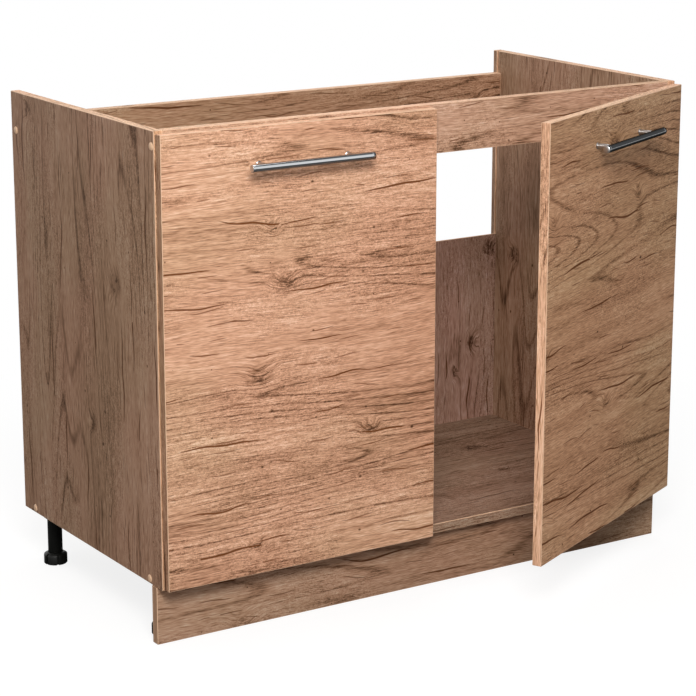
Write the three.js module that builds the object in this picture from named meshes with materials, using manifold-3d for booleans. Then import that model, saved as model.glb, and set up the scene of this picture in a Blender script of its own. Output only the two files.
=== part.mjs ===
// A sink base cabinet with two doors, in millimetres, +Z up.
//
// The origin is on the floor, at the middle of the plinth's underside. +X runs to the
// right along the front, +Y runs from the front to the wall. The left door is shut and
// the right door stands ajar, each on two concealed cup hinges.

import * as THREE from 'three';
import { mergeVertices } from 'three/addons/utils/BufferGeometryUtils.js';
import Module from 'manifold-3d';

const wasm = await Module();
wasm.setup();

// ---------------------------------------------------------------- driving dimensions

const cabinetWidth = 1000;
const cabinetDepth = 500;       // depth of the side panels, without the doors
const sideHeight = 720;
const legHeight = 96;           // floor to the underside of the carcass
const board = 16;               // thickness of the faced board

const frontRailHeight = 80;
const rearRailHeight = 80;
const rearRailDrop = 40;        // rear rail's top below the top of the sides
const rearRailInset = 8;        // rear rail's back from the rear edge of the sides

const backThickness = 3;
const backHeight = 373;         // top of the back panel above the carcass underside
const grooveWidth = 4;
const grooveDepth = 8;
const grooveInset = 11;         // groove's rear side from the rear edge of the sides
const backSlack = 0.5;          // back panel's edge to the floor of its groove

const plinthSetback = 20;       // plinth's face behind the front edge of the sides
const plinthTopGap = 1;

const doorBottomGap = 2.5;      // door's lower edge above the underside of the sides
const doorTopGap = 4.5;         // door's upper edge below the top of the sides
const doorReveal = 1.5;         // side's outer face to the door's hinge edge
const doorMiddleGap = 5;
const doorStandOff = 2;         // side's front edge to the back of a shut door
const rightDoorAngle = 26.15;   // degrees that the right door stands open

const handleLength = 220;
const handleDiameter = 12;
const handleHoleSpacing = 160;
const handlePostDiameter = 8;
const handleStandOff = 30;      // door's face to the middle of the bar
const handleDrop = 58;          // bar's middle below the door's upper edge
const handleEndRound = 1;
const handleScrewDiameter = 4;
const handleScrewHead = 8.5;
const handleScrewHeadHeight = 2.4;
const handleScrewReach = 12;    // how far the screw goes into the post

const hingeEndDistance = 110;   // cup's middle from the door's upper and lower edges
const cupDiameter = 35;
const cupDepth = 11.5;
const cupWall = 1.5;
const cupFloor = 1.2;
const cupEdgeDistance = 21.5;   // cup's middle from the door's hinge edge
const cupRim = 1;               // flange ring outside the cup
const cupNotchHalf = 6.6;       // the links leave the cup through a notch in its rim
const cupNotchDepth = 5;        // below the door's back face
const cupPlateThickness = 1.4;
const cupWingLength = 58;
const cupWingWidth = 13;
const cupScrewOffset = 9.5;     // screw line from the cup's middle, away from the edge
const cupScrewSpacing = 45;
const cupScrewHead = 8;
const cupScrewHeadHeight = 1.2;

// Pivot pins of the hinge. On the arm they are measured from the side panel's inner
// face and front edge, in the cup from the door's hinge edge and back face.
const armPinOuter = { inset: 17.7, behind: 8.5 };
const armPinInner = { inset: 9.7, behind: 5.7 };
const cupPin = { fromEdge: 7.5, deep: 2.8 };
const outerLinkKnee = { fromEdge: 13.2, deep: 5.1 };   // the bend that clears the cup's rim
const innerLinkTip = { fromEdge: 13, deep: 4.5 };      // free end, beside the cup's pin
const outerLinkTurn = -0.17;    // turn of the outer link for each degree of the door
const innerLinkTurn = -0.2;     // the same for the inner link
const pinDiameter = 2.4;
const linkThickness = 1.6;
const linkEyeDiameter = 3.6;
const outerLeafInside = 3.9;    // outer link's leaves, from the hinge's middle plane
const outerLeafOutside = 5.5;
const innerLeafHalf = 3.2;
const innerLinkTipDiameter = 2;
const armPinHalfLength = 7.2;
const cupPinHalfLength = 9;

const armHalfWidth = 7.4;
const armSheet = 1.2;
const armLength = 58;           // arm's rear end behind the side's front edge
const armClampBack = 46;        // clamp screw behind the side's front edge
const armAdjustBack = 28;
const armScrewHead = 8;
const armScrewHeadHeight = 1;
const armRearTop = 17;          // arm's outer face at its rear, from the side panel
const armNoseMargin = 3.4;      // metal round the pins, away from the side panel
const armNoseLowMargin = 2.6;   // the same towards the side panel
const armNoseFront = 0.5;       // nose's front behind the side's front edge
const armNoseCorner = 2;
const armShoulder = 3;
const armStepFront = 15;        // the outer face steps from the nose to the rear part
const armStepRear = 21;

const plateBack = 37;           // line of the plate's screws behind the front edge
const plateScrewSpacing = 32;
const plateWingThickness = 2;
const plateWingWidth = 14;
const plateWingMargin = 7;      // wing's end beyond its screw
const plateRibHalf = 5.6;
const plateRibHeight = 12;
const plateRibStart = 22;       // rib's front end behind the front edge
const plateRibEnd = 57;
const plateScrewDiameter = 5;
const plateScrewReach = 11;
const plateScrewHead = 9;
const plateScrewHeadHeight = 1.2;

const legSideInset = 34;        // leg's middle from the outer face of the side
const frontLegBack = 62;        // front leg's middle behind the front edge
const rearLegInset = 43;        // rear leg's middle from the rear edge
const legTubeDiameter = 25;
const legFlangeDiameter = 50;
const legFlangeThickness = 3;
const legCollarDiameter = 40;
const legCollarHeight = 8;      // straight part of the collar under the flange
const legCollarTaper = 6;
const legTubeFoot = 7.5;        // underside of the tube above the floor
const legTubeChamfer = 1;
const footDiameter = 40;
const footHeight = 20;
const footFloor = 3;
const footFloorEdge = 1;        // chamfer at the floor
const footLip = 1.6;            // flat ring at the top, round the tube
const footTopChamfer = 3.6;
const footNotches = 6;
const footNotchWidth = 3.4;
const footNotchDepth = 2.6;
const footNotchTurn = 14;       // degrees from the front to the first notch
const footSides = 24;

const clipRingWall = 2.2;
const clipHeight = 16;
const clipPadWidth = 34;
const clipPadHeight = 30;
const clipPadThickness = 2.4;
const clipNeckWidth = 14;
const clipMiddleHeight = 62;    // clip's middle above the floor
const clipMouthHalf = 10;       // the ring is open at the rear, to snap on the tube
const clipMouthStart = 5;

const capDiameter = 13;
const capHeight = 1.2;
const capBevel = 0.5;
const confirmatHead = 9.5;
const confirmatHeadLength = 4;
const confirmatShank = 7;
const confirmatTip = 5;
const confirmatLength = 50;
const railScrewDrop = 24;       // screw's middle below the upper edge of a rail
const bottomScrewInset = 42;    // bottom panel's screws from the ends of the side

const turningGap = 0.3;         // between pieces that turn, or that a turned door holds
const boreGap = 0.3;            // round pieces in their holes, on the radius
const past = 1;                 // how far a cutter runs past a face, or a join runs in
const roundSides = 20;
const smallSides = 8;

// ---------------------------------------------------------------- derived places

const halfWidth = cabinetWidth / 2;
const innerX = halfWidth - board;
const frontY = -(plinthSetback + board / 2);
const rearY = frontY + cabinetDepth;
const baseZ = legHeight;
const topZ = baseZ + sideHeight;

const doorBackY = frontY - doorStandOff;
const doorFaceY = doorBackY - board;
const doorEdgeX = halfWidth - doorReveal;
const doorWidth = (cabinetWidth - 2 * doorReveal - doorMiddleGap) / 2;
const doorBottomZ = baseZ + doorBottomGap;
const doorTopZ = topZ - doorTopGap;
const doorMiddleX = doorEdgeX - doorWidth / 2;
const cupX = doorEdgeX - cupEdgeDistance;
const hingeHeights = [doorBottomZ + hingeEndDistance, doorTopZ - hingeEndDistance];
const handleZ = doorTopZ - handleDrop;

const rearRailBackY = rearY - rearRailInset;
const rearRailTopZ = topZ - rearRailDrop;
const grooveBackY = rearY - grooveInset;
const backMiddleY = grooveBackY - grooveWidth / 2;

const armPinOuterAt = [innerX - armPinOuter.inset, frontY + armPinOuter.behind];
const armPinInnerAt = [innerX - armPinInner.inset, frontY + armPinInner.behind];
const inDoor = ({ fromEdge, deep }) => [doorEdgeX - fromEdge, doorBackY - deep];
const cupPinAt = inDoor(cupPin);
const outerLinkKneeAt = inDoor(outerLinkKnee);
const innerLinkTipAt = inDoor(innerLinkTip);

// ---------------------------------------------------------------- materials

const finish = (color, roughness, metalness = 0) =>
  new THREE.MeshStandardMaterial({ color, roughness, metalness });

const oak = finish('#b58a67', 0.6);
const darkOak = finish('#7f6049', 0.6);
const backBoard = finish('#8a6a50', 0.7);
const chrome = finish('#d9dadc', 0.12, 1);
const steel = finish('#b4b7ba', 0.35, 1);
const blackPlastic = finish('#161716', 0.5);
const tanPlastic = finish('#a98263', 0.5);

// ---------------------------------------------------------------- solids

// A closed geometry becomes a solid for cutting and joining.
function solidOf(geometry) {
  let plain = geometry.index ? geometry.toNonIndexed() : geometry.clone();
  plain.deleteAttribute('normal');
  plain.deleteAttribute('uv');
  plain = mergeVertices(plain, 1e-4);
  const mesh = new wasm.Mesh({
    numProp: 3,
    vertProperties: new Float32Array(plain.attributes.position.array),
    triVerts: new Uint32Array(plain.index.array),
  });
  return new wasm.Manifold(mesh);
}

function geometryOf(solid) {
  const mesh = solid.getMesh();
  const geometry = new THREE.BufferGeometry();
  const positions = new Float32Array(mesh.vertProperties);
  geometry.setAttribute('position', new THREE.BufferAttribute(positions, 3));
  geometry.setIndex(new THREE.BufferAttribute(new Uint32Array(mesh.triVerts), 1));
  geometry.computeVertexNormals();
  return geometry;
}

function cut(base, tools) {
  return geometryOf(tools.reduce((solid, tool) => solid.subtract(solidOf(tool)), solidOf(base)));
}

function join(pieces) {
  const [first, ...rest] = pieces.map(solidOf);
  return geometryOf(rest.reduce((solid, piece) => solid.add(piece), first));
}

function box([x0, x1], [y0, y1], [z0, z1]) {
  const geometry = new THREE.BoxGeometry(x1 - x0, y1 - y0, z1 - z0);
  return geometry.translate((x0 + x1) / 2, (y0 + y1) / 2, (z0 + z1) / 2);
}

// A cylinder between two places along x, y or z, through the point of the other two.
function rod(axis, [from, to], point, diameter, sides = smallSides) {
  const geometry = new THREE.CylinderGeometry(diameter / 2, diameter / 2, to - from, sides);
  const middle = (from + to) / 2;
  if (axis === 'x') {
    return geometry.rotateZ(-Math.PI / 2).translate(middle, point[0], point[1]);
  }
  if (axis === 'y') {
    return geometry.translate(point[0], middle, point[1]);
  }
  return geometry.rotateX(Math.PI / 2).translate(point[0], point[1], middle);
}

// A revolved profile of [radius, height] points, upright on the point given.
function turned(profile, [x, y, z], sides = roundSides) {
  const points = profile.map(([radius, height]) => new THREE.Vector2(radius, height));
  const geometry = new THREE.LatheGeometry(points, sides);
  return geometry.rotateX(Math.PI / 2).translate(x, y, z);
}

// An outline of [x, y] points, extruded upright between two heights.
function slab(outline, [z0, z1]) {
  const shape = outline instanceof THREE.Shape
    ? outline
    : new THREE.Shape(outline.map(([x, y]) => new THREE.Vector2(x, y)));
  const depth = z1 - z0;
  const geometry = new THREE.ExtrudeGeometry(shape, { depth, bevelEnabled: false, curveSegments: 8 });
  return geometry.translate(0, 0, z0);
}

// The outline of a flat strap along a line of points, mitred at its bends.
function strap(points, width) {
  const line = points.map(([x, y]) => new THREE.Vector2(x, y));
  const edge = (side) => line.map((point, index) => {
    const before = point.clone().sub(line[Math.max(index - 1, 0)]).normalize();
    const after = line[Math.min(index + 1, line.length - 1)].clone().sub(point).normalize();
    const along = before.clone().add(after).normalize();
    const mitre = side * width / 2 / Math.max(along.dot(before), along.dot(after));
    return new THREE.Vector2(point.x - mitre * along.y, point.y + mitre * along.x);
  });
  return new THREE.Shape([...edge(-1), ...edge(1).reverse()]);
}

// The left-hand twin of a right-hand piece: x changes sign and the faces are turned back.
function mirrored(geometry) {
  const twin = geometry.index ? geometry.toNonIndexed() : geometry.clone();
  const position = twin.attributes.position;
  const source = position.array.slice();
  for (let corner = 0; corner < position.count; corner += 3) {
    for (let k = 0; k < 3; k += 1) {
      const from = 3 * (corner + 2 - k);
      position.setXYZ(corner + k, -source[from], source[from + 1], source[from + 2]);
    }
  }
  twin.deleteAttribute('uv');
  twin.computeVertexNormals();
  return twin;
}

const cabinet = new THREE.Group();

function piece(name, geometry, material, parent = cabinet) {
  const mesh = new THREE.Mesh(geometry, material);
  mesh.name = name;
  parent.add(mesh);
  return mesh;
}

// Pieces that come in a left and a right copy are drawn for the right-hand side.
const sides = [
  { name: 'left', sign: -1, opening: 0 },
  { name: 'right', sign: 1, opening: THREE.MathUtils.degToRad(rightDoorAngle) },
];
const handed = (side, geometry) => (side.sign > 0 ? geometry : mirrored(geometry));

// ---------------------------------------------------------------- screws of the carcass

const railScrews = [
  { name: 'front_rail', y: frontY + board / 2, z: topZ - railScrewDrop },
  { name: 'rear_rail', y: rearRailBackY - board / 2, z: rearRailTopZ - railScrewDrop },
];
const bottomScrews = [
  { name: 'bottom_front', y: frontY + bottomScrewInset, z: baseZ + board / 2 },
  { name: 'bottom_rear', y: rearY - bottomScrewInset, z: baseZ + board / 2 },
];
const carcassScrews = [...railScrews, ...bottomScrews];
const screwTipX = halfWidth - confirmatLength;

function confirmat({ y, z }) {
  const head = [halfWidth - confirmatHeadLength, halfWidth + capHeight / 2];
  const cap = new THREE.LatheGeometry([
    new THREE.Vector2(0, 0),
    new THREE.Vector2(capDiameter / 2, 0),
    new THREE.Vector2(capDiameter / 2, capHeight - capBevel),
    new THREE.Vector2(capDiameter / 2 - capBevel, capHeight),
    new THREE.Vector2(0, capHeight),
  ], roundSides).rotateZ(-Math.PI / 2).translate(halfWidth, y, z);
  return join([
    rod('x', [screwTipX, innerX], [y, z], confirmatTip),
    rod('x', [innerX - past, head[0] + past], [y, z], confirmatShank),
    rod('x', head, [y, z], confirmatHead),
    cap,
  ]);
}

function sideScrewHoles({ y, z }) {
  return [
    rod('x', [innerX - past, halfWidth], [y, z], confirmatShank + 2 * boreGap),
    rod('x', [halfWidth - confirmatHeadLength - boreGap, halfWidth + past], [y, z],
      confirmatHead + 2 * boreGap),
  ];
}

// Holes in the two ends of a board that lies between the sides.
function endScrewHoles({ y, z }) {
  const tipFrom = screwTipX - boreGap;
  return [-1, 1].flatMap((sign) => {
    const tip = rod('x', [tipFrom, innerX + past], [y, z], confirmatTip + 2 * boreGap);
    const mouth = rod('x', [innerX - past - boreGap, innerX + past], [y, z], confirmatShank + 2 * boreGap);
    return sign > 0 ? [tip, mouth] : [mirrored(tip), mirrored(mouth)];
  });
}

// ---------------------------------------------------------------- carcass

function sidePanel() {
  const panel = box([innerX, halfWidth], [frontY, rearY], [baseZ, topZ]);
  const groove = box([innerX - past, innerX + grooveDepth],
    [grooveBackY - grooveWidth, grooveBackY], [baseZ - past, topZ + past]);
  const plateHoles = hingeHeights.flatMap((z) => [-1, 1].map((end) => rod('x',
    [innerX - past, innerX + plateScrewReach + boreGap],
    [frontY + plateBack, z + end * plateScrewSpacing / 2], plateScrewDiameter + 2 * boreGap)));
  return cut(panel, [groove, ...carcassScrews.flatMap(sideScrewHoles), ...plateHoles]);
}

function bottomPanel() {
  const panel = box([-innerX, innerX], [frontY, rearY], [baseZ, baseZ + board]);
  const groove = box([-innerX - past, innerX + past], [grooveBackY - grooveWidth, grooveBackY],
    [baseZ + board - grooveDepth, baseZ + board + past]);
  return cut(panel, [groove, ...bottomScrews.flatMap(endScrewHoles)]);
}

function frontRail() {
  const rail = box([-innerX, innerX], [frontY, frontY + board], [topZ - frontRailHeight, topZ]);
  return cut(rail, endScrewHoles(railScrews[0]));
}

function rearRail() {
  const rail = box([-innerX, innerX], [rearRailBackY - board, rearRailBackY],
    [rearRailTopZ - rearRailHeight, rearRailTopZ]);
  return cut(rail, endScrewHoles(railScrews[1]));
}

function backPanel() {
  const reach = innerX + grooveDepth - backSlack;
  const bottom = baseZ + board - grooveDepth;
  return box([-reach, reach],
    [backMiddleY - backThickness / 2, backMiddleY + backThickness / 2],
    [bottom, baseZ + backHeight]);
}

function plinth() {
  return box([-halfWidth, halfWidth], [-board / 2, board / 2], [0, baseZ - plinthTopGap]);
}

for (const side of sides) {
  piece(`side_panel_${side.name}`, handed(side, sidePanel()), darkOak);
}
piece('bottom_panel', bottomPanel(), oak);
piece('front_rail', frontRail(), oak);
piece('rear_rail', rearRail(), oak);
piece('back_panel', backPanel(), backBoard);
piece('plinth_board', plinth(), oak);

for (const side of sides) {
  for (const screw of carcassScrews) {
    piece(`screw_${screw.name}_${side.name}`, handed(side, confirmat(screw)), tanPlastic);
  }
}

// ---------------------------------------------------------------- legs

const legs = [
  { name: 'front', y: frontY + frontLegBack },
  { name: 'rear', y: rearY - rearLegInset },
];
const legX = halfWidth - legSideInset;

// The flange screwed under the bottom panel and the tube are one moulding.
function legTube(y) {
  const tube = legTubeDiameter / 2;
  const collar = legCollarDiameter / 2;
  const flange = legFlangeDiameter / 2;
  const collarZ = baseZ - legFlangeThickness - legCollarHeight;
  return turned([
    [0, legTubeFoot],
    [tube - legTubeChamfer, legTubeFoot],
    [tube, legTubeFoot + legTubeChamfer],
    [tube, collarZ - legCollarTaper],
    [collar, collarZ],
    [collar, baseZ - legFlangeThickness],
    [flange, baseZ - legFlangeThickness],
    [flange, baseZ],
    [0, baseZ],
  ], [legX, y, 0]);
}

// The foot is a cup that screws up and down the tube, with grip notches round it.
function legFoot(y) {
  const outer = footDiameter / 2;
  const bore = legTubeDiameter / 2 + boreGap;
  const cup = turned([
    [0, 0],
    [outer - footFloorEdge, 0],
    [outer, footFloorEdge],
    [outer, footHeight - footTopChamfer],
    [bore + footLip, footHeight],
    [bore, footHeight],
    [bore, footFloor],
    [0, footFloor],
  ], [legX, y, 0], footSides);
  const notches = Array.from({ length: footNotches }, (_, index) => {
    const angle = THREE.MathUtils.degToRad(footNotchTurn - 90 + index * 360 / footNotches);
    const notch = box([outer - footNotchDepth, outer + past],
      [-footNotchWidth / 2, footNotchWidth / 2], [-past, footHeight + past]);
    return notch.rotateZ(angle).translate(legX, y, 0);
  });
  return cut(cup, notches);
}

// The plinth clip grips the front leg's tube and is screwed to the back of the plinth.
function plinthClip(y) {
  const inner = legTubeDiameter / 2 + boreGap;
  const outer = inner + clipRingWall;
  const low = clipMiddleHeight - clipHeight / 2;
  const high = clipMiddleHeight + clipHeight / 2;
  const backOfPlinth = board / 2;
  const ring = rod('z', [low, high], [legX, y], 2 * outer, roundSides);
  const neck = box([legX - clipNeckWidth / 2, legX + clipNeckWidth / 2],
    [backOfPlinth + clipPadThickness / 2, y], [low, high]);
  const pad = box([legX - clipPadWidth / 2, legX + clipPadWidth / 2],
    [backOfPlinth, backOfPlinth + clipPadThickness],
    [clipMiddleHeight - clipPadHeight / 2, clipMiddleHeight + clipPadHeight / 2]);
  const bore = rod('z', [low - past, high + past], [legX, y], 2 * inner, roundSides);
  const mouth = box([legX - clipMouthHalf, legX + clipMouthHalf],
    [y + clipMouthStart, y + outer + past], [low - past, high + past]);
  return cut(join([ring, neck, pad]), [bore, mouth]);
}

for (const side of sides) {
  for (const leg of legs) {
    piece(`leg_${leg.name}_${side.name}`, handed(side, legTube(leg.y)), blackPlastic);
    piece(`foot_${leg.name}_${side.name}`, handed(side, legFoot(leg.y)), blackPlastic);
  }
  piece(`plinth_clip_${side.name}`, handed(side, plinthClip(legs[0].y)), blackPlastic);
}

// ---------------------------------------------------------------- hinges

// The arm is a folded channel, open towards the side panel, whose nose holds two pins.
function hingeArm(z) {
  const at = ([inset, behind]) => [innerX - inset, frontY + behind];
  const noseTop = armPinOuter.inset + armNoseMargin;
  const noseLow = armPinInner.inset - armNoseLowMargin;
  const low = plateWingThickness + plateScrewHeadHeight + turningGap;
  const shoulder = plateRibStart - armShoulder;
  const outline = [
    [low, armLength], [low, shoulder], [noseLow, shoulder - armShoulder], [noseLow, armNoseCorner],
    [noseLow + armNoseCorner, armNoseFront], [noseTop - armNoseCorner, armNoseFront],
    [noseTop, armNoseCorner], [noseTop, armStepFront], [armRearTop, armStepRear],
    [armRearTop, armLength - armShoulder], [armRearTop - armShoulder, armLength],
  ];
  const hollow = [
    [-past, armLength + past], [-past, -past], [noseTop - armSheet, -past], [noseTop - armSheet, armStepFront],
    [armRearTop - armSheet, armStepRear], [armRearTop - armSheet, armLength + past],
  ];
  const pinHoles = [armPinOuterAt, armPinInnerAt].map((point) => rod('z',
    [z - armHalfWidth - past, z + armHalfWidth + past], point, pinDiameter + 2 * boreGap));
  const shell = cut(slab(outline.map(at), [z - armHalfWidth, z + armHalfWidth]),
    [slab(hollow.map(at), [z - armHalfWidth + armSheet, z + armHalfWidth - armSheet]), ...pinHoles]);
  const topX = innerX - armRearTop;
  const heads = [armClampBack, armAdjustBack].map((behind) => rod('x',
    [topX - armScrewHeadHeight, topX + armSheet / 2], [frontY + behind, z], armScrewHead));
  return join([shell, ...heads]);
}

// The plate lies on the side panel, with a rib inside the arm and two screws.
function hingePlate(z) {
  const wingReach = plateScrewSpacing / 2 + plateWingMargin;
  const screwY = frontY + plateBack;
  const wings = box([innerX - plateWingThickness, innerX],
    [screwY - plateWingWidth / 2, screwY + plateWingWidth / 2], [z - wingReach, z + wingReach]);
  const rib = box([innerX - plateRibHeight, innerX],
    [frontY + plateRibStart, frontY + plateRibEnd], [z - plateRibHalf, z + plateRibHalf]);
  const screws = [-1, 1].flatMap((end) => {
    const place = [screwY, z + end * plateScrewSpacing / 2];
    const face = innerX - plateWingThickness;
    return [
      rod('x', [face - plateScrewHeadHeight, face + past], place, plateScrewHead),
      rod('x', [face, innerX + plateScrewReach], place, plateScrewDiameter),
    ];
  });
  return join([wings, rib, ...screws]);
}

// The outer link has two bent leaves that hang from the arm and carry the cup's pin.
function outerLink(z) {
  const outline = strap([cupPinAt, outerLinkKneeAt, armPinOuterAt], linkThickness);
  const leaves = [-1, 1].flatMap((sign) => {
    const span = [z + sign * outerLeafInside, z + sign * outerLeafOutside].sort((a, b) => a - b);
    return [slab(outline, span), rod('z', span, cupPinAt, linkEyeDiameter)];
  });
  return join([
    ...leaves,
    rod('z', [z - outerLeafOutside, z + outerLeafOutside], armPinOuterAt, linkEyeDiameter),
    rod('z', [z - armPinHalfLength, z + armPinHalfLength], armPinOuterAt, pinDiameter),
    rod('z', [z - cupPinHalfLength, z + cupPinHalfLength], cupPinAt, pinDiameter),
  ]);
}

// The inner link turns between the leaves and ends beside the cup's pin.
function innerLink(z) {
  const width = [z - innerLeafHalf, z + innerLeafHalf];
  return join([
    slab(strap([innerLinkTipAt, armPinInnerAt], linkThickness), width),
    rod('z', width, armPinInnerAt, linkEyeDiameter),
    rod('z', width, innerLinkTipAt, innerLinkTipDiameter),
    rod('z', [z - armPinHalfLength, z + armPinHalfLength], armPinInnerAt, pinDiameter),
  ]);
}

// The cup is pressed into the door and its flange lies on the door's back.
function hingeCup(z) {
  const faceY = doorBackY + turningGap;
  const outer = cupDiameter / 2;
  const plateTop = faceY + cupPlateThickness;
  const wingX = cupX - cupScrewOffset;
  const body = rod('y', [faceY - cupDepth, plateTop], [cupX, z], cupDiameter, roundSides);
  const ring = rod('y', [faceY, plateTop], [cupX, z], cupDiameter + 2 * cupRim, roundSides);
  const wings = box([wingX - cupWingWidth / 2, wingX + cupWingWidth / 2], [faceY, plateTop],
    [z - cupWingLength / 2, z + cupWingLength / 2]);
  const heads = [-1, 1].map((end) => rod('y', [faceY, plateTop + cupScrewHeadHeight],
    [wingX, z + end * cupScrewSpacing / 2], cupScrewHead));
  const hollow = rod('y', [faceY - cupDepth + cupFloor, plateTop + past], [cupX, z],
    2 * (outer - cupWall), roundSides);
  const pinHole = rod('z', [z - cupPinHalfLength - boreGap, z + cupPinHalfLength + boreGap],
    cupPinAt, pinDiameter + 2 * boreGap);
  const notch = box([cupX + outer / 2, cupX + outer + cupRim + past],
    [doorBackY - cupNotchDepth, plateTop + past], [z - cupNotchHalf, z + cupNotchHalf]);
  return cut(join([body, ring, wings, ...heads]), [hollow, pinHole, notch]);
}

// ---------------------------------------------------------------- doors

const handlePostXs = [-1, 1].map((end) => doorMiddleX + end * handleHoleSpacing / 2);
const handleBarY = doorFaceY - handleStandOff;

function door() {
  const panel = box([doorEdgeX - doorWidth, doorEdgeX], [doorFaceY, doorBackY],
    [doorBottomZ, doorTopZ]);
  const cupBores = hingeHeights.map((z) => rod('y',
    [doorBackY - cupDepth - boreGap, doorBackY + past], [cupX, z],
    cupDiameter + 2 * boreGap, roundSides));
  const screwBores = handlePostXs.flatMap((x) => [
    rod('y', [doorFaceY - past, doorBackY + past], [x, handleZ], handleScrewDiameter + 2 * boreGap),
    rod('y', [doorBackY - handleScrewHeadHeight - turningGap, doorBackY + past], [x, handleZ],
      handleScrewHead + 2 * boreGap, roundSides),
  ]);
  return cut(panel, [...cupBores, ...screwBores]);
}

function handleBar() {
  const radius = handleDiameter / 2;
  const half = handleLength / 2;
  const profile = [
    [0, -half], [radius - handleEndRound, -half], [radius, -half + handleEndRound],
    [radius, half - handleEndRound], [radius - handleEndRound, half], [0, half],
  ].map(([r, h]) => new THREE.Vector2(r, h));
  return new THREE.LatheGeometry(profile, roundSides)
    .rotateZ(-Math.PI / 2).translate(doorMiddleX, handleBarY, handleZ);
}

// A post stands on the door and is hollowed at its end to fit the bar.
function handlePost(x) {
  const seat = doorFaceY - turningGap;
  const post = rod('y', [handleBarY, seat], [x, handleZ], handlePostDiameter, roundSides);
  const saddle = rod('x', [x - handlePostDiameter, x + handlePostDiameter],
    [handleBarY, handleZ], handleDiameter + 2 * boreGap, roundSides);
  const thread = rod('y', [seat - handleScrewReach - boreGap, seat + past], [x, handleZ],
    handleScrewDiameter + 2 * boreGap);
  return cut(post, [saddle, thread]);
}

// The screw's head is sunk in the door's back, because the front rail lies behind it.
function handleScrew(x) {
  const seat = doorBackY - handleScrewHeadHeight;
  return join([
    rod('y', [seat, doorBackY], [x, handleZ], handleScrewHead, roundSides),
    rod('y', [doorFaceY - turningGap - handleScrewReach, seat + past], [x, handleZ],
      handleScrewDiameter),
  ]);
}

// A pivot group turns about a point of the plan. What it holds is drawn in place, shut.
function pivot(name, parent, origin, [x, y], angle) {
  const group = new THREE.Group();
  group.name = name;
  group.position.set(x - origin[0], y - origin[1], 0);
  group.rotation.z = angle;
  parent.add(group);
  const content = (node, geometry, material) => {
    piece(node, geometry.translate(-x, -y, 0), material, group);
  };
  return { group, content };
}

const levels = [
  { name: 'lower', z: hingeHeights[0] },
  { name: 'upper', z: hingeHeights[1] },
];

for (const side of sides) {
  const { name, sign, opening } = side;
  const point = ([x, y]) => [sign * x, y];
  const turn = sign * opening;

  for (const level of levels) {
    piece(`hinge_arm_${level.name}_${name}`, handed(side, hingeArm(level.z)), steel);
    piece(`hinge_plate_${level.name}_${name}`, handed(side, hingePlate(level.z)), steel);
  }

  const inner = pivot(`inner_links_${name}`, cabinet, [0, 0], point(armPinInnerAt),
    innerLinkTurn * turn);
  const outer = pivot(`outer_links_${name}`, cabinet, [0, 0], point(armPinOuterAt),
    outerLinkTurn * turn);
  const leaf = pivot(`door_leaf_${name}`, outer.group, point(armPinOuterAt),
    point(cupPinAt), (1 - outerLinkTurn) * turn);

  for (const level of levels) {
    inner.content(`inner_link_${level.name}_${name}`, handed(side, innerLink(level.z)), steel);
    outer.content(`outer_link_${level.name}_${name}`, handed(side, outerLink(level.z)), steel);
    leaf.content(`hinge_cup_${level.name}_${name}`, handed(side, hingeCup(level.z)), steel);
  }
  leaf.content(`door_${name}`, handed(side, door()), oak);
  leaf.content(`handle_bar_${name}`, handed(side, handleBar()), chrome);
  handlePostXs.forEach((x, index) => {
    const place = index === 0 ? 'inner' : 'outer';
    leaf.content(`handle_post_${place}_${name}`, handed(side, handlePost(x)), chrome);
    leaf.content(`handle_screw_${place}_${name}`, handed(side, handleScrew(x)), steel);
  });
}

export default cabinet;
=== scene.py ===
import math

import bmesh
import bpy
from mathutils import Matrix, Vector


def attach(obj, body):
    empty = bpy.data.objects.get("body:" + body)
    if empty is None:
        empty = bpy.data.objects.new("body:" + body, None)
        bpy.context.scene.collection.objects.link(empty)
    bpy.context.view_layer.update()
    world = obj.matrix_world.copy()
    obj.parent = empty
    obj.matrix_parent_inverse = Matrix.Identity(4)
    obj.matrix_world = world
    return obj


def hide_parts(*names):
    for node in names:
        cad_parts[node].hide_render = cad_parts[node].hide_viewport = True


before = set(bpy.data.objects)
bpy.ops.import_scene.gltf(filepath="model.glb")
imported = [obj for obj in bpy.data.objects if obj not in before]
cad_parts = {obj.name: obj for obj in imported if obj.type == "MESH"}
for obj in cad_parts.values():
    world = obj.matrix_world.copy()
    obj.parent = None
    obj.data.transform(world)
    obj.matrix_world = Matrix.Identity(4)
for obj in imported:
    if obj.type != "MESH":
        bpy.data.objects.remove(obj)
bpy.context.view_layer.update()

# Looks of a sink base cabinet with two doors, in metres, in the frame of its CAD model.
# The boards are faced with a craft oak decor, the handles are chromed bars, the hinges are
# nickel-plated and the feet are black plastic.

scene = bpy.context.scene

# ---------------------------------------------------------------- camera

PHOTO_SIDE = 696                # pixels
LENS_PIXELS = 2345              # focal length in pixels of the photograph
SENSOR = 36                     # mm
CAMERA_PLACE = Vector((-2.106, -3.074, 1.368))
CAMERA_YAW = 32.59              # degrees, from looking along +Y towards +X
CAMERA_PITCH = 14.42            # degrees below the horizon


def make_camera():
    data = bpy.data.cameras.new("photo_camera")
    data.sensor_width = SENSOR
    data.lens = LENS_PIXELS / PHOTO_SIDE * SENSOR
    camera = bpy.data.objects.new("photo_camera", data)
    camera.location = CAMERA_PLACE
    camera.rotation_euler = (
        math.radians(90 - CAMERA_PITCH),
        0,
        math.radians(-CAMERA_YAW),
    )
    scene.collection.objects.link(camera)
    scene.camera = camera


make_camera()

# ---------------------------------------------------------------- node trees


def linear(code):
    """A colour written as "#rrggbb", as Blender's linear values."""
    parts = [int(code[i:i + 2], 16) / 255 for i in (1, 3, 5)]
    return [p / 12.92 if p <= 0.04045 else ((p + 0.055) / 1.055) ** 2.4 for p in parts]


def paint(code):
    return (*linear(code), 1)


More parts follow.
